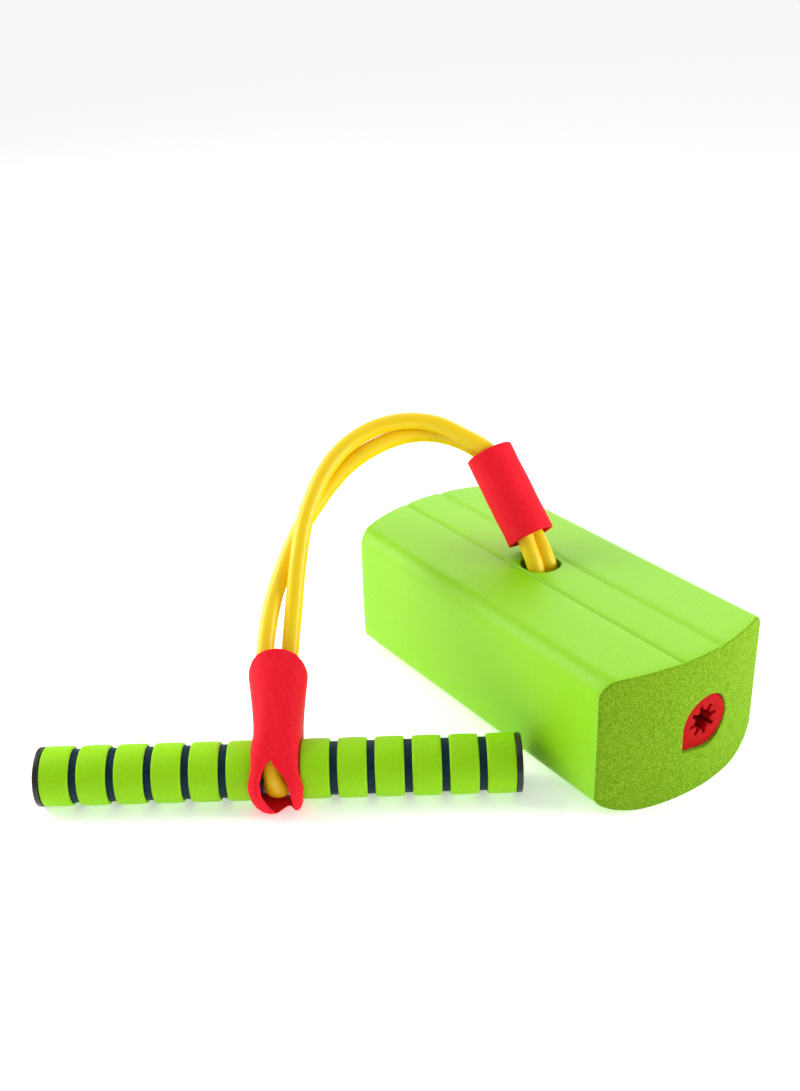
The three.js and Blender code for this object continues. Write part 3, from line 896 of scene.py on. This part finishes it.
# ---------------------------------------------------------------- sleeves
SLEEVE_RADIUS, SLEEVE_BORE = 14.5, 12.4
SLEEVE_START = Vector((-16.9, 1.4, 99.6))
SLEEVE_END = Vector((-56, 0.6, 141.7))
SLEEVE_SECTIONS, SLEEVE_SIDES = 20, 96
SLEEVE_SWELL, SLEEVE_SEED = 0.35, 3.0


def make_lower_sleeve():
    along = SLEEVE_END - SLEEVE_START
    place = basis(SLEEVE_START, along, (0, 0, 1))
    length = along.length
    corners = [(SLEEVE_BORE, 0, 0.5), (SLEEVE_RADIUS, 0, 0.8)]
    for i in range(1, SLEEVE_SECTIONS):
        corners.append((SLEEVE_RADIUS, length * i / SLEEVE_SECTIONS, 0))
    corners += [(SLEEVE_RADIUS, length, 1.1), (SLEEVE_BORE, length, 0.5)]
    profile = rounded(corners)
    sleeve = turned(
        "sleeve_lower", profile, SLEEVE_SIDES, RED_FOAM, place, SLEEVE_SWELL, SLEEVE_SEED
    )
    foam_piece(sleeve, "lower_sleeve", "lower_sleeve_body")


make_lower_sleeve()

# How the upper sleeve is remeshed and softened, in metres
UPPER_VOXEL, UPPER_WELD = 0.0006, 1e-6
SMOOTH_FACTOR, SMOOTH_PASSES = 0.5, 12
UPPER_SWELL, UPPER_SWELL_SCALE = 0.0003, 60
UPPER_LEAST_Z = 0.0004


def make_upper_sleeve():
    """The slit foam tube round the handle: its CAD solid remeshed, with the cut edges softened."""
    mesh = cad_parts["upper_sleeve"].data.copy()
    mesh.materials.clear()
    welded(mesh, UPPER_WELD)
    sleeve = link_object("sleeve_upper", mesh, [RED_FOAM])
    remesh = sleeve.modifiers.new("remesh", "REMESH")
    remesh.mode = "VOXEL"
    remesh.voxel_size = UPPER_VOXEL
    soften = sleeve.modifiers.new("soften", "SMOOTH")
    soften.factor = SMOOTH_FACTOR
    soften.iterations = SMOOTH_PASSES
    freeze(sleeve)
    swollen = []
    for vertex in sleeve.data.vertices:
        swell = noise.noise(vertex.co * UPPER_SWELL_SCALE) * UPPER_SWELL
        point = vertex.co + vertex.normal * swell
        swollen += [point.x, point.y, max(point.z, UPPER_LEAST_Z)]
    sleeve.data.vertices.foreach_set("co", swollen)
    sleeve.data.shade_smooth()
    foam_piece(sleeve, "upper_sleeve", "cord_link_5")


make_upper_sleeve()


# ---------------------------------------------------------------- handle
GRIP_START, GRIP_END = 9.5, 129.4
GRIP_RADIUS, GRIP_BORE, GRIP_SIDES = 14.6, 5.5, 72
RINGS_PER_SIDE, RING_SIDES = 6, 96
RING_RADIUS, RING_BORE = 16.25, 14.8
RING_START, RING_PITCH, RING_WIDTH = 12.0, 20.3, 16.0
RING_CROWN, RING_SECTIONS = 0.25, 6
RING_SWELL, RING_SEED = 0.06, 2.3
CAP_RADIUS, CAP_THICKNESS, CAP_GAP = 16.4, 3.4, 0.3
CAP_SPIGOT_RADIUS, CAP_SPIGOT = 3.4, 12
CAP_DISH, CAP_DISH_DEPTH = (12.2, 11.6), 0.7  # radii at the dish's edge and floor


def make_grip(hand, place):
    corners = [
        (GRIP_BORE, GRIP_START, 0.4),
        (GRIP_RADIUS, GRIP_START, 1.2),
        (GRIP_RADIUS, GRIP_END, 0.5),
        (GRIP_BORE, GRIP_END, 0.3),
    ]
    foam = turned(f"grip_{hand}", rounded(corners), GRIP_SIDES, DARK_FOAM, place)
    foam_piece(foam, f"grip_foam_{hand}", "handle")


def make_ring(hand, place, index):
    start = RING_START + index * RING_PITCH
    end = start + RING_WIDTH
    corners = [(RING_BORE, start, 0.3), (RING_RADIUS, start, 1.3)]
    for k in range(1, RING_SECTIONS):
        share = k / RING_SECTIONS
        lift = RING_CROWN * math.sin(math.pi * share)
        corners.append((RING_RADIUS + lift, start + RING_WIDTH * share, 0))
    corners += [(RING_RADIUS, end, 1.3), (RING_BORE, end, 0.3)]
    profile = rounded(corners)
    label = f"ring_{hand}_{index + 1}"
    seed = index * RING_SEED
    ring = turned(label, profile, RING_SIDES, RING_FOAM, place, RING_SWELL, seed)
    foam_piece(ring, "grip_" + label, "handle")


def make_cap(hand, place):
    outer = GRIP_END + CAP_THICKNESS
    dish = outer - CAP_DISH_DEPTH
    corners = [
        (0, GRIP_END - CAP_SPIGOT, 0),
        (CAP_SPIGOT_RADIUS, GRIP_END - CAP_SPIGOT, 0.4),
        (CAP_SPIGOT_RADIUS, GRIP_END + CAP_GAP, 0),
        (CAP_RADIUS, GRIP_END + CAP_GAP, 0.5),
        (CAP_RADIUS, outer, 1.0),
        (CAP_DISH[0], outer, 0.3),
        (CAP_DISH[1], dish, 0.3),
        (0, dish, 0),
    ]
    end_cap = turned(f"cap_{hand}", rounded(corners), GRIP_SIDES, BLACK, place)
    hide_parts(f"end_cap_{hand}")
    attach(end_cap, "handle")


def make_handle():
    for hand, direction in (("right", HANDLE_AXIS), ("left", -HANDLE_AXIS)):
        place = basis(HANDLE_CENTRE, direction, (0, 0, 1))
        make_grip(hand, place)
        for index in range(RINGS_PER_SIDE):
            make_ring(hand, place, index)
        make_cap(hand, place)


make_handle()

# These two keep their CAD shapes, as the foam hides nearly all of them
for name in ("anchor_rod", "handle_tube"):
    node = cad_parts[name]
    node.data.materials.clear()
    node.data.materials.append(TUBE_WHITE)


# ---------------------------------------------------------------- studio
# In metres. The sun stands for a wide soft light overhead; its spread is in degrees.
FLOOR_REACH, FLOOR_TONE, FLOOR_GLOW = 40, (250, 250, 250), 0.42
WHITE, SKY = (1, 1, 1, 1), 0.36
SUN_POWER, SUN_SPREAD, SUN_FROM = 0.6, 80, (-0.25, 0.3, 0.92)

# Soft lights: name, place, what it points at, size in metres, watts
AREAS = [
    ("behind", (-0.9, 0.85, 0.76), (0, 0, 0.06), 1.1, 7),
    ("front_left", (-1.0, -0.85, 0.95), (-0.02, -0.05, 0.05), 0.9, 14),
    ("low_left", (-1.0, -1.05, 0.4), (-0.02, -0.05, 0.05), 0.6, 5),
    ("right", (0.6, 0.52, 0.3), (0.12, 0.02, 0.045), 0.45, 5),
]


def add_area(name, place, target, size, power):
    data = bpy.data.lights.new(name, "AREA")
    data.energy = power
    data.size = size
    lamp = bpy.data.objects.new(name, data)
    scene.collection.objects.link(lamp)
    lamp.location = place
    lamp.rotation_euler = (Vector(target) - Vector(place)).to_track_quat("-Z", "Y").to_euler()


def make_floor():
    reach = FLOOR_REACH
    corners = [(-reach, -reach, 0), (reach, -reach, 0), (reach, reach, 0), (-reach, reach, 0)]
    paper, shader = new_material("floor", FLOOR_TONE, 0.95, 0.0)
    shader.inputs["Emission Color"].default_value = WHITE
    shader.inputs["Emission Strength"].default_value = FLOOR_GLOW
    link_object("floor", mesh_from("floor", corners, [(0, 1, 2, 3)]), [paper])


def make_studio():
    make_floor()
    world = bpy.data.worlds.new("world")
    scene.world = world
    world.use_nodes = True
    background = world.node_tree.nodes["Background"]
    background.inputs["Color"].default_value = WHITE
    background.inputs["Strength"].default_value = SKY
    sun = bpy.data.lights.new("sun", "SUN")
    sun.energy = SUN_POWER
    sun.angle = math.radians(SUN_SPREAD)
    overhead = bpy.data.objects.new("sun", sun)
    scene.collection.objects.link(overhead)
    overhead.rotation_euler = Vector(SUN_FROM).to_track_quat("Z", "Y").to_euler()
    for area in AREAS:
        add_area(*area)
    scene.view_settings.view_transform = "Standard"


make_studio()
